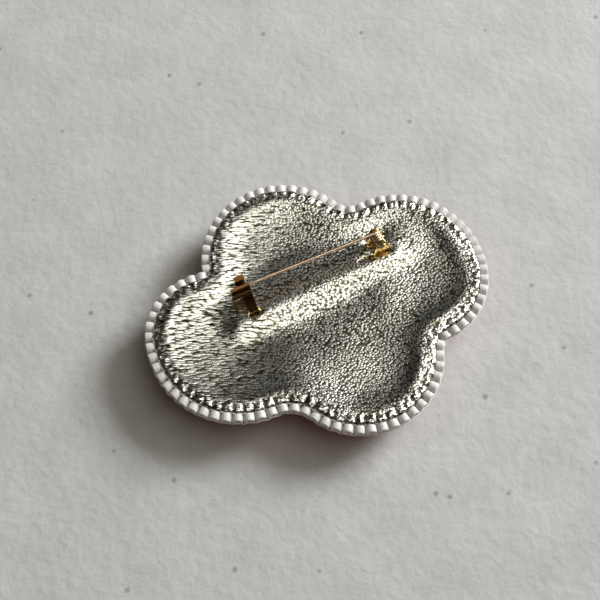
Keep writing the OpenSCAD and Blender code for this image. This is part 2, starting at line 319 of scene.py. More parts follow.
def inside_skin(depth):
    """The skin's profile moved this far inwards, as a list of Vectors (inset, z)."""
    moved = []
    for k, (inset, z) in enumerate(FRONT_SKIN):
        before = FRONT_SKIN[max(k - 1, 0)]
        after = FRONT_SKIN[min(k + 1, len(FRONT_SKIN) - 1)]
        along = Vector((after[0] - before[0], after[1] - before[1])).normalized()
        moved.append(Vector((inset, z)) + Vector((-along.y, along.x)) * depth)
    return moved


def ring_at(inset, z, count):
    """Points of a level ring this far inside the outline."""
    return [(p.x, p.y, z) for p, _ in outline_points(count, inset)]


def loft(name, rings):
    """Closed skin through rings of equally many points, extruded ring by ring."""
    count = len(rings[0])
    bpy.ops.object.select_all(action="DESELECT")
    bpy.ops.mesh.primitive_circle_add(vertices=count, radius=1, fill_type="NOTHING")
    made = bpy.context.object
    made.name = name
    bpy.ops.object.mode_set(mode="EDIT")
    bpy.ops.mesh.select_mode(type="EDGE")
    bpy.ops.mesh.select_all(action="SELECT")
    shape = bmesh.from_edit_mesh(made.data)
    for v, place in zip(shape.verts, rings[0]):
        v.co = Vector(place) * MM
    bpy.ops.mesh.edge_face_add()
    bpy.ops.mesh.select_all(action="DESELECT")
    shape = bmesh.from_edit_mesh(made.data)
    for edge in shape.edges:
        edge.select = True
    for ring in rings[1:]:
        bpy.ops.mesh.extrude_edges_move()
        shape = bmesh.from_edit_mesh(made.data)
        shape.verts.ensure_lookup_table()
        for v, place in zip(shape.verts[-count:], ring):
            v.co = Vector(place) * MM
        shape.select_flush_mode()
        bmesh.update_edit_mesh(made.data)
    bpy.ops.mesh.edge_face_add()
    bpy.ops.mesh.select_all(action="SELECT")
    bpy.ops.mesh.normals_make_consistent(inside=False)
    bpy.ops.object.mode_set(mode="OBJECT")
    bpy.ops.object.shade_smooth()
    return made


pad_skin = [p for p in inside_skin(PAD_DEPTH) if p.x < PAD_END]
pad_rings = [ring_at(p.x, p.y, PAD_AROUND) for p in (*PAD_TOP, *pad_skin[1:])]
front_cloth = loft("front_cloth", pad_rings)

# Colours from the left end of the brooch to the right: yellow, orange, coral and pink
OMBRE = (
    (0.05, (0.80, 0.46, 0.07)),
    (0.3, (0.83, 0.33, 0.05)),
    (0.6, (0.80, 0.19, 0.08)),
    (1, (0.80, 0.28, 0.30)),
)
OMBRE_HALF_LENGTH = 34 * MM
# How far a bead's tone, 0 to 1, moves it along the colours
TONE_SHIFT = 0.16
CLOTH_ROUGHNESS = 0.85


def add_ramp(nodes, *stops):
    """Colour ramp through two or more stops of place and colour."""
    node = add_node(nodes, "ValToRGB")
    first, *between, last = stops
    for element, (place, colour) in zip(node.color_ramp.elements, (first, last)):
        element.position = place
        element.color = (*colour, 1)
    for place, colour in between:
        node.color_ramp.elements.new(place).color = (*colour, 1)
    return node


def ombre_group():
    """Node group: the colour of the front at its place, moved on by a bead's tone."""
    group = bpy.data.node_groups.new("ombre", "ShaderNodeTree")
    group.interface.new_socket("Tone", in_out="INPUT", socket_type="NodeSocketFloat")
    group.interface.new_socket("Colour", in_out="OUTPUT", socket_type="NodeSocketColor")
    nodes, link = group.nodes, group.links.new
    asked = nodes.new("NodeGroupInput")
    given = nodes.new("NodeGroupOutput")
    where = add_node(nodes, "TexCoord")
    split = add_node(nodes, "SeparateXYZ")
    link(where.outputs["Object"], split.inputs["Vector"])
    along = add_node(nodes, "MapRange", From_Min=-OMBRE_HALF_LENGTH, From_Max=OMBRE_HALF_LENGTH)
    link(split.outputs["X"], along.inputs["Value"])
    shifted = add_node(nodes, "Math", operation="MULTIPLY_ADD")
    shifted.inputs[1].default_value = TONE_SHIFT
    link(asked.outputs["Tone"], shifted.inputs[0])
    link(along.outputs["Result"], shifted.inputs[2])
    colours = add_ramp(nodes, *OMBRE)
    link(shifted.outputs["Value"], colours.inputs["Fac"])
    link(colours.outputs["Color"], given.inputs["Colour"])
    return group


ombre = ombre_group()
ombre_cloth, nodes, link, surface = new_material("ombre_cloth")
dye = add_node(nodes, "Group", node_tree=ombre)
link(dye.outputs["Colour"], surface.inputs["Base Color"])
surface.inputs["Roughness"].default_value = CLOTH_ROUGHNESS
front_cloth.data.materials.append(ombre_cloth)
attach(front_cloth, "brooch")

# Front beads
# Rows of opaque glass seed beads that follow the outline, from under the edge down to
# the flat middle. Each row is one line of stitches through the cloth, so its beads lie
# with their holes along it.
FRONT_BEAD_D = 2.1
FRONT_BEAD_L = 1.55
BEAD_HOLE = 0.8
# Room between the beads of a row, distance of the rows, and place of the first one
FRONT_BEAD_PLAY = 0.05
FRONT_ROW_PITCH = 2.05
FIRST_ROW_AT = 0.6
# Least and greatest size of a bead, twice across it and then along it
FRONT_BEAD_SIZES = ((0.96, 1), (0.96, 1), (0.92, 1.0))
# A row's line is tried at this many points, within this slack, and a stretch of it
# that has at least this many of them holds beads
ROW_POINTS = 1600
ROW_SLACK = 0.03
LEAST_POINTS = 4
# The ends of a row that goes all round are nearer to each other than this
LOOP_GAP = 0.5
# Least distance between neighbours that gives a bead its direction
LEAST_WAY = 0.1

OUTLINE_LENGTH = sum(abs(sweep) * radius for _, radius, _, sweep, _ in ARCS)
FINE_POINTS = 4000
FINE = outline_points(FINE_POINTS, 0)
near_outline = KDTree(FINE_POINTS)
for k, (p, _) in enumerate(FINE):
    near_outline.insert((p.x, p.y, 0), k)
near_outline.balance()


def inset_of(x, y):
    """(distance in from the outline, place along it) of a point."""
    _, k, distance = near_outline.find((x, y, 0))
    at, out = FINE[k]
    inside = (x - at.x) * out.x + (y - at.y) * out.y < 0
    return distance if inside else -distance, k * OUTLINE_LENGTH / FINE_POINTS


def evenly(points, pitch, start):
    """Points every pitch along a line of Vectors, the first one this far along it."""
    found, left = [], start
    for a, b in zip(points, points[1:]):
        length = (b - a).length
        while left <= length and length > 0:
            found.append(a.lerp(b, left / length))
            left += pitch
        left -= length
    return found


def rows_inside(inset):
    """Stretches of the line this far inside that no part of the outline comes nearer to."""
    stretches, now = [], []
    for p, _ in outline_points(ROW_POINTS, inset):
        if near_outline.find((p.x, p.y, 0))[2] > inset - ROW_SLACK:
            now.append(p)
        elif now:
            stretches.append(now)
            now = []
    if now:
        stretches.append(now)
    return [stretch for stretch in stretches if len(stretch) >= LEAST_POINTS]


# A face of the raw cylinder is an end if its normal points along the axis by this much.
# An edge is on a rim if it lies beyond this share of the diameter, and its own rise is
# under this share of the length.
END_FACING = 0.9
RIM_SHARE = 0.48
RIM_FLAT = 0.1


def bead(name, diameter, length, round_over, sides, steps):
    """One seed bead along Z: a short drilled cylinder with its rims rounded."""
    bpy.ops.object.select_all(action="DESELECT")
    bpy.ops.mesh.primitive_cylinder_add(
        vertices=sides, radius=diameter / 2 * MM, depth=length * MM, end_fill_type="NGON"
    )
    made = bpy.context.object
    made.name = name
    bpy.ops.object.mode_set(mode="EDIT")
    bpy.ops.mesh.select_mode(type="FACE")
    bpy.ops.mesh.select_all(action="DESELECT")
    shape = bmesh.from_edit_mesh(made.data)
    for face in shape.faces:
        face.select = abs(face.normal.z) > END_FACING
    bmesh.update_edit_mesh(made.data)
    bpy.ops.mesh.inset(thickness=(diameter - BEAD_HOLE) / 2 * MM)
    bpy.ops.mesh.bridge_edge_loops()
    bpy.ops.mesh.select_all(action="DESELECT")
    bpy.ops.mesh.select_mode(type="EDGE")
    shape = bmesh.from_edit_mesh(made.data)
    for edge in shape.edges:
        a, b = (v.co for v in edge.verts)
        rim = min(math.hypot(a.x, a.y), math.hypot(b.x, b.y)) > diameter * RIM_SHARE * MM
        edge.select = rim and abs(a.z - b.z) < RIM_FLAT * length * MM
    bmesh.update_edit_mesh(made.data)
    bpy.ops.mesh.bevel(offset=round_over * MM, segments=steps, profile=0.5)
    bpy.ops.mesh.select_all(action="SELECT")
    bpy.ops.mesh.normals_make_consistent(inside=False)
    bpy.ops.object.mode_set(mode="OBJECT")
    bpy.ops.object.shade_smooth()
    return made


def sew(name, one, places):
    """Copies of one bead, each with its own mesh, joined. A place is (point, axis, size, tone)."""
    sewn = bmesh.new()
    tones = []
    for point, axis, size, tone in places:
        turned = Vector(axis).to_track_quat("Z", "Y").to_matrix().to_4x4()
        own = one.data.copy()
        own.transform(Matrix.Translation(Vector(point) * MM) @ turned @ Matrix.Diagonal((*size, 1)))
        sewn.from_mesh(own)
        tones += [tone] * len(own.vertices)
        bpy.data.meshes.remove(own)
    mesh = bpy.data.meshes.new(name)
    sewn.to_mesh(mesh)
    sewn.free()
    mesh.attributes.new("tone", "FLOAT", "POINT").data.foreach_set("value", tones)
    made = bpy.data.objects.new(name, mesh)
    bpy.context.scene.collection.objects.link(made)
    bpy.data.objects.remove(one)
    return made


draw = random.Random(11)
front_places = []
bead_skin = inside_skin(FRONT_BEAD_D / 2)
for row in evenly(bead_skin, FRONT_ROW_PITCH, FIRST_ROW_AT):
    for stretch in rows_inside(row.x):
        around = [Vector((p.x, p.y, row.y)) for p in stretch]
        closed = (around[0] - around[-1]).length < LOOP_GAP
        if closed:
            around.append(around[0])
        length = sum((b - a).length for a, b in zip(around, around[1:]))
        count = max(1, int(length / (FRONT_BEAD_L + FRONT_BEAD_PLAY)))
        spots = evenly(around, length / count, length / count / 2)[:count]
        for k, spot in enumerate(spots):
            ahead = spots[(k + 1) % len(spots)] if closed or k + 1 < len(spots) else spot
            behind = spots[k - 1] if closed or k > 0 else spot
            along = (ahead - behind) if (ahead - behind).length > LEAST_WAY else Vector((1, 0, 0))
            size = [draw.uniform(*span) for span in FRONT_BEAD_SIZES]
            front_places.append((spot, along, size, draw.random()))

# Single beads fill the strips where the rows from both sides leave the cloth bare. The
# front is searched in small steps for places with room for one more.
FILL_STEP = 0.35
FILL_ROOM = 1.66
FILL_HALF_X, FILL_HALF_Y = 31, 24
FILL_INSET = 4
FILL_SKEW = 0.6
FILL_SIZE = (0.86, 0.86, 0.9)
taken = np.array([(spot.x, spot.y) for spot, _, _, _ in front_places])
for y in np.arange(-FILL_HALF_Y, FILL_HALF_Y, FILL_STEP):
    for x in np.arange(-FILL_HALF_X, FILL_HALF_X, FILL_STEP):
        if np.hypot(taken[:, 0] - x, taken[:, 1] - y).min() > FILL_ROOM:
            inset = inset_of(x, y)[0]
            if inset > FILL_INSET:
                z = np.interp(inset, [p.x for p in bead_skin], [p.y for p in bead_skin])
                along = Vector((1, draw.uniform(-FILL_SKEW, FILL_SKEW), 0))
                front_places.append((Vector((x, y, z)), along, FILL_SIZE, draw.random()))
                taken = np.vstack((taken, (x, y)))
front_bead = bead("front_bead", FRONT_BEAD_D, FRONT_BEAD_L, round_over=0.4, sides=10, steps=1)
front_beads = sew("front_beads", front_bead, front_places)

GLASS_ROUGHNESS = 0.12
ombre_glass, nodes, link, surface = new_material("ombre_glass")
tone = add_node(nodes, "Attribute", attribute_name="tone")
melt = add_node(nodes, "Group", node_tree=ombre)
link(tone.outputs["Fac"], melt.inputs["Tone"])
link(melt.outputs["Colour"], surface.inputs["Base Color"])
surface.inputs["Roughness"].default_value = GLASS_ROUGHNESS
front_beads.data.materials.append(ombre_glass)
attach(front_beads, "brooch")
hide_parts("beaded_front")

# Edge row
# One row of white glass seed beads round the rim, side by side. Each is sewn to the
# edge of the front and of the leather, with its hole pointing outwards.
EDGE_BEAD_D = 2.2
EDGE_BEAD_L = 1.6
EDGE_Z = 8.4
EDGE_N = round(OUTLINE_LENGTH / EDGE_BEAD_D)
EDGE_BEAD_SIZES = ((0.97, 1.0), (0.97, 1.0), (0.95, 1.0))
EDGE_LEAN = 0.05
EDGE_SHIFT = (-0.06, 0.02)
WHITE_DULL = (0.56, 0.55, 0.525)
WHITE_CLEAN = (0.64, 0.632, 0.61)
WHITE_ROUGHNESS = 0.45
# Share of the light that spreads inside the glass, and how far, for red, green and blue
WHITE_SPREAD = 0.2
WHITE_SPREAD_DEPTH = (0.6 * MM, 0.5 * MM, 0.4 * MM)

edge_places = []
for p, out in outline_points(EDGE_N, 0):
    size = [draw.uniform(*span) for span in EDGE_BEAD_SIZES]
    lean = Vector((out.x, out.y, draw.uniform(-EDGE_LEAN, EDGE_LEAN)))
    shift = draw.uniform(*EDGE_SHIFT)
    edge_places.append(((p.x + out.x * shift, p.y + out.y * shift, EDGE_Z), lean, size, draw.random()))
edge_bead = bead("edge_bead", EDGE_BEAD_D, EDGE_BEAD_L, round_over=0.18, sides=24, steps=3)
edge_row = sew("edge_row", edge_bead, edge_places)

white_glass, nodes, link, surface = new_material("white_glass")
tone = add_node(nodes, "Attribute", attribute_name="tone")
whites = add_ramp(nodes, (0, WHITE_DULL), (1, WHITE_CLEAN))
link(tone.outputs["Fac"], whites.inputs["Fac"])
link(whites.outputs["Color"], surface.inputs["Base Color"])
surface.inputs["Roughness"].default_value = WHITE_ROUGHNESS
surface.inputs["Subsurface Weight"].default_value = WHITE_SPREAD
surface.inputs["Subsurface Radius"].default_value = WHITE_SPREAD_DEPTH
surface.inputs["Subsurface Scale"].default_value = 1
edge_row.data.materials.append(white_glass)
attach(edge_row, "brooch")
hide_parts("edge_beads")

# Edge thread
# The white sewing thread of the edge row. It dips into the outer end of each bead's
# hole and crosses to the next bead a little lower and farther out.
THREAD_D = 0.26
THREAD_IN, THREAD_OUT = -0.05, 0.1
THREAD_DROP_IN, THREAD_DROP_OUT = 0.225, 0.45
# The white thread's colours are dimmed and tinted pink: painted shade and a painted warm bounce from the
# front's beads
THREAD_DARK = (0.62, 0.5, 0.47)
THREAD_PALE = (0.8, 0.72, 0.7)
THREAD_ROUGHNESS = 0.7

thread_points = []
for k, (p, out) in enumerate(outline_points(EDGE_N * 2, 0)):
    between = k % 2 == 1
    reach = EDGE_BEAD_L / 2 + (THREAD_OUT if between else THREAD_IN)
    z = EDGE_Z - (THREAD_DROP_OUT if between else THREAD_DROP_IN)
    thread_points.append((p.x + out.x * reach, p.y + out.y * reach, z))

route = bpy.data.curves.new("edge_thread", "CURVE")
route.dimensions = "3D"
route.resolution_u = 4
route.bevel_depth = THREAD_D / 2 * MM
route.bevel_resolution = 1
route.use_fill_caps = False
stitches = route.splines.new("BEZIER")
stitches.bezier_points.add(len(thread_points) - 1)
for point, place in zip(stitches.bezier_points, thread_points):
    point.co = Vector(place) * MM
    point.handle_left_type = point.handle_right_type = "AUTO"
stitches.use_cyclic_u = True
edge_thread = bpy.data.objects.new("edge_thread", route)
bpy.context.scene.collection.objects.link(edge_thread)
bpy.ops.object.select_all(action="DESELECT")
edge_thread.select_set(True)
bpy.context.view_layer.objects.active = edge_thread
bpy.ops.object.convert(target="MESH")
edge_thread = bpy.context.object
bpy.ops.object.shade_smooth()

white_thread, nodes, link, surface = new_material("white_thread")
ply_and_painted_bounce = mottled(
    nodes, link, THREAD_DARK, THREAD_PALE, Scale=4000, Detail=2, Roughness=0.5, From=0, To=1
)
link(ply_and_painted_bounce, surface.inputs["Base Color"])
surface.inputs["Roughness"].default_value = THREAD_ROUGHNESS
edge_thread.data.materials.append(white_thread)
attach(edge_thread, "brooch")

# Leather back
# A sheet of thin leather with a pale silver foil on its pebbled grain. Stitches
# round its rim pull it down between the beads, so the rim puckers bead by bead,
# and it is drawn over the bar of the pin, which leaves a soft ridge.

# How far inside the edge row the leather is cut
RIM_INSET = 0.85
# The plain sheet is merged within this distance, cut into even cells and smoothed
MERGED = 0.001 * MM
LEATHER_VOXEL = 0.2 * MM
STEP_SMOOTHING = 6
# The outer face, above this height, is smoothed once more inside this inset
FACE_Z, FACE_INSET, FACE_SMOOTHING = 8.3, 3, 70
# The underside, with normals below this and inside this inset, isn't seen. It keeps
# this share of its faces.
UNDER_FACING, UNDER_INSET, UNDER_SHARE = -0.6, 2, 0.06

bpy.ops.object.select_all(action="DESELECT")
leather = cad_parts["leather_back"].copy()
leather.data = leather.data.copy()
leather.name = "leather"
leather.parent = None
for key in list(leather.keys()):
    del leather[key]
bpy.context.scene.collection.objects.link(leather)
bpy.context.view_layer.objects.active = leather
leather.select_set(True)
bpy.ops.object.mode_set(mode="EDIT")
bpy.ops.mesh.select_all(action="SELECT")
bpy.ops.mesh.remove_doubles(threshold=MERGED)
bpy.ops.object.mode_set(mode="OBJECT")
leather.data.materials.clear()
remesh = leather.modifiers.new("even_faces", "REMESH")
remesh.mode = "VOXEL"
remesh.voxel_size = LEATHER_VOXEL
bpy.ops.object.modifier_apply(modifier=remesh.name)
bpy.ops.object.mode_set(mode="EDIT")
bpy.ops.mesh.select_all(action="SELECT")
bpy.ops.mesh.vertices_smooth(factor=0.5, repeat=STEP_SMOOTHING)
bpy.ops.mesh.select_all(action="DESELECT")
bpy.ops.mesh.select_mode(type="VERT")
shape = bmesh.from_edit_mesh(leather.data)
for v in shape.verts:
    v.select = v.co.z > FACE_Z * MM and inset_of(v.co.x / MM, v.co.y / MM)[0] > FACE_INSET
shape.select_flush_mode()
bmesh.update_edit_mesh(leather.data)
bpy.ops.mesh.vertices_smooth(factor=0.5, repeat=FACE_SMOOTHING)
bpy.ops.mesh.select_all(action="DESELECT")
bpy.ops.mesh.select_mode(type="FACE")
shape = bmesh.from_edit_mesh(leather.data)
shape.normal_update()
for face in shape.faces:
    middle = face.calc_center_median() / MM
    face.select = face.normal.z < UNDER_FACING and inset_of(middle.x, middle.y)[0] > UNDER_INSET
bmesh.update_edit_mesh(leather.data)
bpy.ops.mesh.decimate(ratio=UNDER_SHARE)
bpy.ops.object.mode_set(mode="OBJECT")


# The relief of the outer face comes next. Each form of it has its rise or depth, and
# the width that it fades over.
def eased(t):
    """Smooth step from 0 at t = 0 to 1 at t = 1."""
    t = max(0.0, min(1.0, t))
    return t * t * (3 - 2 * t)


def bell(t):
    """Smooth bump of height 1 at t = 0 that has faded by t = 2 on either side."""
    return math.exp(-t ** 2)


def uneven(x, y, layer, size):
    """Smooth noise with swellings of this size. Each layer is a pattern of its own."""
    return noise.noise(Vector((x, y, layer)) / size)


# Between two beads a stitch pulls the sheet in, and over each bead it stands up as a
# tooth. Spans of what differs: the tooth's height, and the stitch's shift along the
# rim, depth, and the reach and slant of its crease.
PUCKER_SPANS = ((0.3, 1.0), (-0.35, 0.35), (0.3, 1.0), (0.5, 1.8), (-0.4, 0.4))
pucker = random.Random(5)
PUCKERS = [[pucker.uniform(*span) for span in PUCKER_SPANS] for _ in range(EDGE_N)]
TOOTH_RISE, TOOTH_W = 0.26, 0.7
STITCH_INSET = 1.8
DENT_DEPTH, DENT_ALONG, DENT_ACROSS = 0.42, 0.32, 0.42
CREASE_DEPTH, CREASE_W = 0.06, 0.24


def pucker_at(inset, place):
    """Height of the teeth, dents and creases of the rim, and how deep a stitch's dent is."""
    beads = place / OUTLINE_LENGTH * EDGE_N
    past_rim, past_stitch = inset - RIM_INSET, inset - STITCH_INSET
    tooth, _, _, _, _ = PUCKERS[int(round(beads)) % EDGE_N]
    over_bead = math.cos(math.pi * (beads - round(beads))) ** 2
    height = TOOTH_RISE * tooth * over_bead * bell(past_rim / TOOTH_W)
    _, shift, deep, reach, slant = PUCKERS[int(math.floor(beads)) % EDGE_N]
    off = (beads - math.floor(beads) - 0.5) * OUTLINE_LENGTH / EDGE_N - shift
    dent = deep * bell(off / DENT_ALONG) * bell(past_stitch / DENT_ACROSS)
    height -= DENT_DEPTH * dent
    if past_stitch > 0:
        crease = bell((off - slant * past_stitch) / CREASE_W) * bell(past_stitch / reach)
        height -= CREASE_DEPTH * deep * crease
    return height, dent


# The bar of the pin under the sheet: the middle of the hinge, the bar's turn, its two
# ends from there and half its width. The ridge over it falls off over this distance.
PIN_AT = (12, 12.6)
PIN_TURN = math.radians(27)
BAR_FROM, BAR_TO, BAR_HALF = -32, 3, 2.5
BAR_FALL = 5


def beside_bar(x, y):
    """Place along and across the bar, and distance from it, halved past its hinge end."""
    x, y = x - PIN_AT[0], y - PIN_AT[1]
    along = x * math.cos(PIN_TURN) + y * math.sin(PIN_TURN)
    across = y * math.cos(PIN_TURN) - x * math.sin(PIN_TURN)
    past_end = max(0, (along - BAR_TO) / 2, BAR_FROM - along)
    return along, across, math.hypot(past_end, max(0, abs(across) - BAR_HALF))


# Each lobe is a wide bowl. Its depth follows the inset, and is evened out on a grid so
# that no crease is left along the middle of the lobe.
BOWL_DEPTH, BOWL_W = 0.85, 15
BOWL_HALF_X, BOWL_HALF_Y = 36, 29
BOWL_STEP = 0.5
BOWL_PASSES = 6
BOWL_X = np.arange(-BOWL_HALF_X, BOWL_HALF_X + BOWL_STEP / 2, BOWL_STEP)
BOWL_Y = np.arange(-BOWL_HALF_Y, BOWL_HALF_Y + BOWL_STEP / 2, BOWL_STEP)
bowl = np.array([[BOWL_DEPTH * eased(inset_of(x, y)[0] / BOWL_W) for x in BOWL_X] for y in BOWL_Y])
for _ in range(BOWL_PASSES):
    for axis in (0, 1):
        bowl = sum(np.roll(bowl, shift, axis) for shift in (2, 1, 0, -1, -2)) / 5


def bowl_at(x, y):
    """Depth of the bowls, read between the steps of the grid."""
    i, j = (x - BOWL_X[0]) / BOWL_STEP, (y - BOWL_Y[0]) / BOWL_STEP
    i0, j0 = int(i), int(j)
    a, b = i - i0, j - j0
    low = bowl[j0, i0] * (1 - a) + bowl[j0, i0 + 1] * a
    high = bowl[j0 + 1, i0] * (1 - a) + bowl[j0 + 1, i0 + 1] * a
    return low * (1 - b) + high * b


# A welt runs round inside the stitches, uneven in height. On the right it is farther
# in, higher, and wider on its inner side.
WELT_INSET, WELT_RISE, WELT_W = 3.3, 0.12, 0.9
WELT_LEAST, WELT_UNEVEN, WELT_LAYER, WELT_SIZE = 0.6, 0.8, 189, 9
RIGHT_FROM, RIGHT_OVER = 10, 10
RIGHT_INSET, RIGHT_RISE, RIGHT_W = 0.4, 0.15, 0.7


def welt_at(x, y, inset):
    """Height of the welt."""
    right = eased((x - RIGHT_FROM) / RIGHT_OVER)
    off = inset - WELT_INSET - RIGHT_INSET * right
    width = WELT_W + RIGHT_W * right if off > 0 else WELT_W
    full = WELT_LEAST + WELT_UNEVEN * uneven(x, y, WELT_LAYER, WELT_SIZE)
    return (WELT_RISE + RIGHT_RISE * right) * full * bell(off / width)


# Inside the welt the sheet falls a little. A trench runs in front of the bar and beside
# it, and fades at both its ends and towards the rim.
HOLLOW, HOLLOW_W = 0.1, 5
TRENCH_DEPTH, TRENCH_ACROSS, TRENCH_W = 0.26, -8.2, 3.4
TRENCH_FROM, TRENCH_FROM_W = -39, 11
TRENCH_TO, TRENCH_TO_W = -2, 7
TRENCH_INSET, TRENCH_INSET_W = 2, 5


def hollow_at(x, y, along, across, inset):
    """Depth of the bowls, of the fall inside the welt, and of the trench."""
    trench = bell((across - TRENCH_ACROSS) / TRENCH_W)
    trench *= eased((TRENCH_TO - along) / TRENCH_TO_W)
    trench *= eased((along - TRENCH_FROM) / TRENCH_FROM_W)
    trench *= eased((inset - TRENCH_INSET) / TRENCH_INSET_W)
    fall = HOLLOW * eased((inset - WELT_INSET) / HOLLOW_W)
    return fall + bowl_at(x, y) + TRENCH_DEPTH * trench


# Broad swellings and hollows of the sheet: place, half width along X and Y, height
SWELLINGS = (
    (12, 2, 7, 7, 0.35),
    (-26, -4, 5.5, 8, 0.45),
    (-9, 22, 8, 5.5, 0.35),
    (6, 21, 5, 4, -0.45),
    (1, -13, 10, 5, 0.3),
)
SWELLING_RIM_W = 3
# One more past the hinge end of the bar: its place along the bar, and its half widths
END_RISE, END_AT, END_HALF_ALONG, END_HALF_ACROSS = 0.2, 7.5, 3, 4.5


def swelling_at(x, y, along, across, inset):
    """Height of all the swellings. They fade towards the rim, but for the one at the bar."""
    height = END_RISE * bell((along - END_AT) / END_HALF_ALONG) * bell(across / END_HALF_ACROSS)
    for middle_x, middle_y, half_x, half_y, rise in SWELLINGS:
        swelling = bell((x - middle_x) / half_x) * bell((y - middle_y) / half_y)
        height += rise * eased(inset / SWELLING_RIM_W) * swelling
    return height


# The sheet is uneven all over, in a wide pattern and a fine one, and less so over the
# bar. Fine ripples run along X on the left. Near the stitches it is rumpled.
WIDE_RISE, WIDE_LAYER, WIDE_SIZE = 0.1, 3, 7.0
FINE_RISE, FINE_LAYER, FINE_SIZE = 0.02, 7, 2.6
CALM_OVER_BAR = 0.7
RUMPLE_RISE, RUMPLE_LAYER, RUMPLE_SIZE = 0.13, 31, 0.75
RUMPLE_INSET, RUMPLE_W = 1.7, 1.1
RIPPLE_RISE, RIPPLE_RISE_LEFT = 0.005, 0.05
RIPPLE_LENGTH, RIPPLE_W, RIPPLE_LAYER = 3.4, 0.6, 1
LEFT_FROM, LEFT_OVER = -6, 10


def rumple_at(x, y, inset, over_bar):
    """Height of the uneven patterns, the ripples and the rumples."""
    height = RUMPLE_RISE * uneven(x, y, RUMPLE_LAYER, RUMPLE_SIZE) * bell((inset - RUMPLE_INSET) / RUMPLE_W)
    wide = WIDE_RISE * uneven(x, y, WIDE_LAYER, WIDE_SIZE)
    fine = FINE_RISE * uneven(x, y, FINE_LAYER, FINE_SIZE)
    height += (wide + fine) * (1 - CALM_OVER_BAR * over_bar)
    left = max(0.0, min(1.0, (LEFT_FROM - x) / LEFT_OVER))
    ripples = noise.noise(Vector((x / RIPPLE_LENGTH, y / RIPPLE_W, RIPPLE_LAYER)))
    return height + (RIPPLE_RISE_LEFT * left + RIPPLE_RISE) * ripples


# A short slit beside the hinge runs along the bar, with tapered ends
SLIT_DEPTH, SLIT_ACROSS, SLIT_HALF_W = 0.54, -1.55, 0.32
SLIT_FROM, SLIT_TO, SLIT_TAPER = -5.2, -1.6, 0.3


def slit_at(along, across):
    """How far the slit is open at a place along and across the bar, 0 to 1."""
    ends = eased((along - SLIT_FROM + SLIT_TAPER) / (2 * SLIT_TAPER))
    ends *= eased((SLIT_TO + SLIT_TAPER - along) / (2 * SLIT_TAPER))
    return ends * math.exp(-((across - SLIT_ACROSS) / SLIT_HALF_W) ** 4)


# The padding fills the sheet out inside the rim, and the beads lift the rim itself
FULL_RISE, FULL_INSET, FULL_W = 0.45, 0.5, 1.4
LIFT_RISE, LIFT_W = 0.5, 1.8
# A dent deeper than this share of the deepest is pierced, painted with the dark shade of a hole, wholly so
# this much deeper
PIERCED_FROM, PIERCED_OVER = 4 / 15, 2 / 3


def relief(x, y):
    """Height of the sheet over its plain form, and how much of it is cut or pierced, which is painted with
    the dark shade of a hole.
    """
    inset, place = inset_of(x, y)
    along, across, off_bar = beside_bar(x, y)
    over_bar = 1 - eased(off_bar / BAR_FALL)
    height, dent = pucker_at(inset, place)
    full = FULL_RISE * eased((inset - FULL_INSET) / FULL_W)
    hollow = hollow_at(x, y, along, across, inset)
    height += (welt_at(x, y, inset) - hollow + full) * (1 - over_bar)
    height += LIFT_RISE * max(0.0, 1 - max(inset - RIM_INSET, 0) / LIFT_W) ** 2
    height += swelling_at(x, y, along, across, inset) + rumple_at(x, y, inset, over_bar)
    slit = slit_at(along, across)
    # The deepest dents are painted as holes, with dark painted shade
    pierced = eased((dent - PIERCED_FROM) / PIERCED_OVER)
    return height - SLIT_DEPTH * slit, max(slit, pierced)


# The outer face moves along its normals, less so sideways, and never sinks below LOWEST
OUTER_FACING = 0.05
SPREAD = 0.6
LOWEST = 8.1
mesh = leather.data
mesh.update()
points = np.zeros(len(mesh.vertices) * 3, np.float32)
mesh.vertices.foreach_get("co", points)
points = points.reshape(-1, 3)
normals = np.zeros(len(mesh.vertices) * 3, np.float32)
mesh.vertex_normals.foreach_get("vector", normals)
normals = normals.reshape(-1, 3)
outer = normals[:, 2] > OUTER_FACING
lift = np.zeros(len(points), np.float32)
opened_and_hole_shade = np.zeros(len(points), np.float32)
for i in np.nonzero(outer)[0]:
    lift[i], opened_and_hole_shade[i] = relief(points[i, 0] / MM, points[i, 1] / MM)
points += normals * (SPREAD, SPREAD, 1) * (lift * MM)[:, None]
points[outer, 2] = np.maximum(points[outer, 2], LOWEST * MM)
mesh.vertices.foreach_set("co", points.ravel())
mesh.attributes.new("opened_and_hole_shade", "FLOAT", "POINT").data.foreach_set("value", opened_and_hole_shade)
mesh.update()
bpy.ops.object.shade_smooth()

# Cells of the grain: sizes in mm, how steeply they fall to the valleys between them,
# and how deep. They are round pebbles, with long ripples in their place on the left.
PEBBLES = ((0.5, 0.44, 0.7), 1.7, 1)
RIPPLES = ((1.4, 0.38, 0.7), 3, 1.6)
CELL_BEND = (0.25 * MM, 0.25 * MM, 0)
FINEST_SHARE = 0.3
# Sockets of a Mix node for plain numbers, whose share is as in one for colours
NUMBER_1, NUMBER_2, MIXED_NUMBER = 2, 3, 0


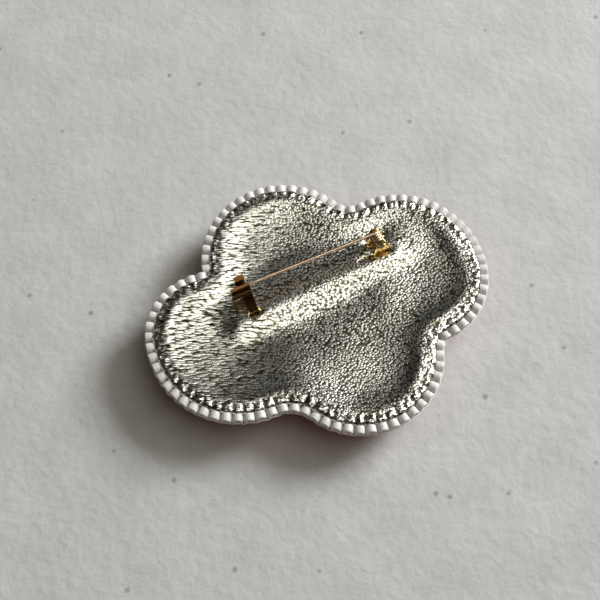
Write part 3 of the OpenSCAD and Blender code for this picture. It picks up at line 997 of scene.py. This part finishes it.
def pebbled_grain():
    """Node group: height and valleys of leather grain, with long ripples where asked."""
    group = bpy.data.node_groups.new("pebbled_grain", "ShaderNodeTree")
    group.interface.new_socket("Ripples", in_out="INPUT", socket_type="NodeSocketFloat")
    group.interface.new_socket("Height", in_out="OUTPUT", socket_type="NodeSocketFloat")
    group.interface.new_socket("Valley", in_out="OUTPUT", socket_type="NodeSocketFloat")
    nodes, link = group.nodes, group.links.new
    asked = nodes.new("NodeGroupInput")
    given = nodes.new("NodeGroupOutput")
    where = add_node(nodes, "TexCoord")
    warp = add_node(nodes, "TexNoise", Scale=650, Detail=2)
    link(where.outputs["Object"], warp.inputs["Vector"])
    bent = add_node(nodes, "VectorMath", operation="MULTIPLY_ADD")
    bent.inputs[1].default_value = CELL_BEND
    link(warp.outputs["Color"], bent.inputs[0])
    link(where.outputs["Object"], bent.inputs[2])
    valleys = []
    for size, steep, deep in (PEBBLES, RIPPLES):
        placed = add_node(nodes, "VectorMath", operation="DIVIDE")
        placed.inputs[1].default_value = Vector(size) * MM
        link(bent.outputs["Vector"], placed.inputs[0])
        cell = add_node(nodes, "TexVoronoi", feature="F1", Scale=1)
        link(placed.outputs["Vector"], cell.inputs["Vector"])
        fall = add_node(nodes, "Math", operation="POWER")
        fall.inputs[1].default_value = steep
        link(cell.outputs["Distance"], fall.inputs[0])
        valley = add_node(nodes, "Math", operation="MULTIPLY")
        valley.inputs[1].default_value = deep
        link(fall.outputs["Value"], valley.inputs[0])
        valleys.append(valley.outputs["Value"])
    mixed = add_node(nodes, "Mix", data_type="FLOAT")
    link(asked.outputs["Ripples"], mixed.inputs[SHARE])
    link(valleys[0], mixed.inputs[NUMBER_1])
    link(valleys[1], mixed.inputs[NUMBER_2])
    finest = add_node(nodes, "TexNoise", Scale=3300, Detail=3)
    link(where.outputs["Object"], finest.inputs["Vector"])
    finest_rise = add_node(nodes, "Math", operation="MULTIPLY")
    finest_rise.inputs[1].default_value = FINEST_SHARE
    link(finest.outputs["Fac"], finest_rise.inputs[0])
    height = add_node(nodes, "Math", operation="MULTIPLY_ADD")
    height.inputs[1].default_value = -1
    link(mixed.outputs[MIXED_NUMBER], height.inputs[0])
    link(finest_rise.outputs["Value"], height.inputs[2])
    link(height.outputs["Value"], given.inputs["Height"])
    link(mixed.outputs[MIXED_NUMBER], given.inputs["Valley"])
    return group


# The foil's colour is darkened in the valleys of the grain, painted shade. Where the sheet is cut or
# pierced the foil is gone and the bare leather shows, painted near black with the shade of a hole.
FOIL_BRIGHT = (0.905, 0.94, 0.9)
FOIL_VALLEY_SHADE = (0.15, 0.14, 0.09)
FOIL_ROUGHNESS = 0.22
FOIL_GONE = 0.7
# Bare leather where the sheet is cut or pierced, darkened to near black: painted shade of the hole
CUT_AND_HOLE_SHADE_COLOUR = (0.045, 0.026, 0.014, 1)
CUT_ROUGHNESS = 0.75
GRAIN_DEPTH = 0.08 * MM
RIPPLES_FROM, RIPPLES_FULL = -2 * MM, -17 * MM

foil, nodes, link, surface = new_material("silver_foil_leather")
where = add_node(nodes, "TexCoord")
split = add_node(nodes, "SeparateXYZ")
link(where.outputs["Object"], split.inputs["Vector"])
to_left = add_node(nodes, "MapRange", From_Min=RIPPLES_FROM, From_Max=RIPPLES_FULL)
link(split.outputs["X"], to_left.inputs["Value"])
grain = add_node(nodes, "Group", node_tree=pebbled_grain())
link(to_left.outputs["Result"], grain.inputs["Ripples"])
bump = add_node(nodes, "Bump", Strength=1, Distance=GRAIN_DEPTH)
link(grain.outputs["Height"], bump.inputs["Height"])
link(bump.outputs["Normal"], surface.inputs["Normal"])
# Painted shade: the foil's colour goes dark towards the valleys of the grain
foil_with_valley_shade = add_ramp(nodes, (0.2, FOIL_BRIGHT), (0.6, FOIL_VALLEY_SHADE))
link(grain.outputs["Valley"], foil_with_valley_shade.inputs["Fac"])
opening_and_hole_shade = add_node(nodes, "Attribute", attribute_name="opened_and_hole_shade")
inside = add_node(nodes, "Mix", data_type="RGBA")
inside.inputs[COLOUR_2].default_value = CUT_AND_HOLE_SHADE_COLOUR
link(opening_and_hole_shade.outputs["Fac"], inside.inputs[SHARE])
link(foil_with_valley_shade.outputs["Color"], inside.inputs[COLOUR_1])
link(inside.outputs[MIXED_COLOUR], surface.inputs["Base Color"])
foiled = add_node(nodes, "MapRange", From_Max=FOIL_GONE, To_Min=1, To_Max=0)
link(opening_and_hole_shade.outputs["Fac"], foiled.inputs["Value"])
link(foiled.outputs["Result"], surface.inputs["Metallic"])
roughened = add_node(nodes, "MapRange", To_Min=FOIL_ROUGHNESS, To_Max=CUT_ROUGHNESS)
link(opening_and_hole_shade.outputs["Fac"], roughened.inputs["Value"])
link(roughened.outputs["Result"], surface.inputs["Roughness"])
leather.data.materials.append(foil)

CUT_POINTS = 400
cut = [p for p, _ in outline_points(CUT_POINTS, RIM_INSET)]
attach(leather, "brooch")
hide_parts("leather_back")

# Bar pin
# A gold-plated steel strip under the leather, whose ears carry the rivet of the hinge
# and whose ring holds the turning sleeve of the catch. The gold is painted darker
# towards the catch, most of all high up: a painted dark reflection.
GOLD_WORN = (0.78, 0.48, 0.16)
GOLD_BRIGHT = (0.97, 0.8, 0.38)
GOLD_ROUGHNESS = 0.2
# Painted dark reflection: the gold is multiplied darker towards the catch, low and more so high up
DARK_REFLECTION_LOW = (0.5, 0.44, 0.3, 1)
DARK_REFLECTION_HIGH = (0.16, 0.1, 0.08, 1)
DARK_REFLECTION_LOW_Z, DARK_REFLECTION_HIGH_Z = 9 * MM, 12.5 * MM
DARK_REFLECTION_FROM, DARK_REFLECTION_FULL = 4 * MM, -8 * MM
SOFT_EDGE = 0.07 * MM
SHARP_ANGLE = math.radians(35)

gold_plating, nodes, link, surface = new_material("gold_plating")
gold = mottled(
    nodes, link, GOLD_WORN, GOLD_BRIGHT, Scale=700, Detail=4, Roughness=0.5, From=0.3, To=0.6
)
where = add_node(nodes, "TexCoord")
split = add_node(nodes, "SeparateXYZ")
link(where.outputs["Object"], split.inputs["Vector"])
by_height = add_node(nodes, "MapRange", From_Min=DARK_REFLECTION_LOW_Z, From_Max=DARK_REFLECTION_HIGH_Z)
link(split.outputs["Z"], by_height.inputs["Value"])
dark_reflection = add_node(nodes, "Mix", data_type="RGBA")
dark_reflection.inputs[COLOUR_1].default_value = DARK_REFLECTION_LOW
dark_reflection.inputs[COLOUR_2].default_value = DARK_REFLECTION_HIGH
link(by_height.outputs["Result"], dark_reflection.inputs[SHARE])
to_catch = add_node(nodes, "MapRange", From_Min=DARK_REFLECTION_FROM, From_Max=DARK_REFLECTION_FULL)
link(split.outputs["X"], to_catch.inputs["Value"])
gold_with_dark_reflection = add_node(nodes, "Mix", data_type="RGBA", blend_type="MULTIPLY")
link(to_catch.outputs["Result"], gold_with_dark_reflection.inputs[SHARE])
link(gold, gold_with_dark_reflection.inputs[COLOUR_1])
link(dark_reflection.outputs[MIXED_COLOUR], gold_with_dark_reflection.inputs[COLOUR_2])
link(gold_with_dark_reflection.outputs[MIXED_COLOUR], surface.inputs["Base Color"])
surface.inputs["Metallic"].default_value = 1
surface.inputs["Roughness"].default_value = GOLD_ROUGHNESS
for name in ("pin_base", "hinge_rivet", "catch_sleeve"):
    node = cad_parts[name]
    node.data.materials.clear()
    node.data.materials.append(gold_plating)
    edges = node.modifiers.new("soft_edges", "BEVEL")
    edges.width = SOFT_EDGE
    edges.segments = 2
    edges.limit_method = "ANGLE"
    edges.angle_limit = SHARP_ANGLE

# Needle
# Spring wire with a paler gold finish, coiled round the rivet of the hinge. Its free
# end is ground to a point and lies in the catch.
WIRE_WORN = (0.72, 0.5, 0.33)
WIRE_BRIGHT = (0.92, 0.76, 0.6)
WIRE_ROUGHNESS = 0.25

pale_gold_wire, nodes, link, surface = new_material("pale_gold_wire")
pale_gold = mottled(
    nodes, link, WIRE_WORN, WIRE_BRIGHT, Scale=900, Detail=3, Roughness=0.5, From=0.35, To=0.65
)
link(pale_gold, surface.inputs["Base Color"])
surface.inputs["Metallic"].default_value = 1
surface.inputs["Roughness"].default_value = WIRE_ROUGHNESS
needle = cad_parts["pin_needle"]
needle.data.materials.clear()
needle.data.materials.append(pale_gold_wire)
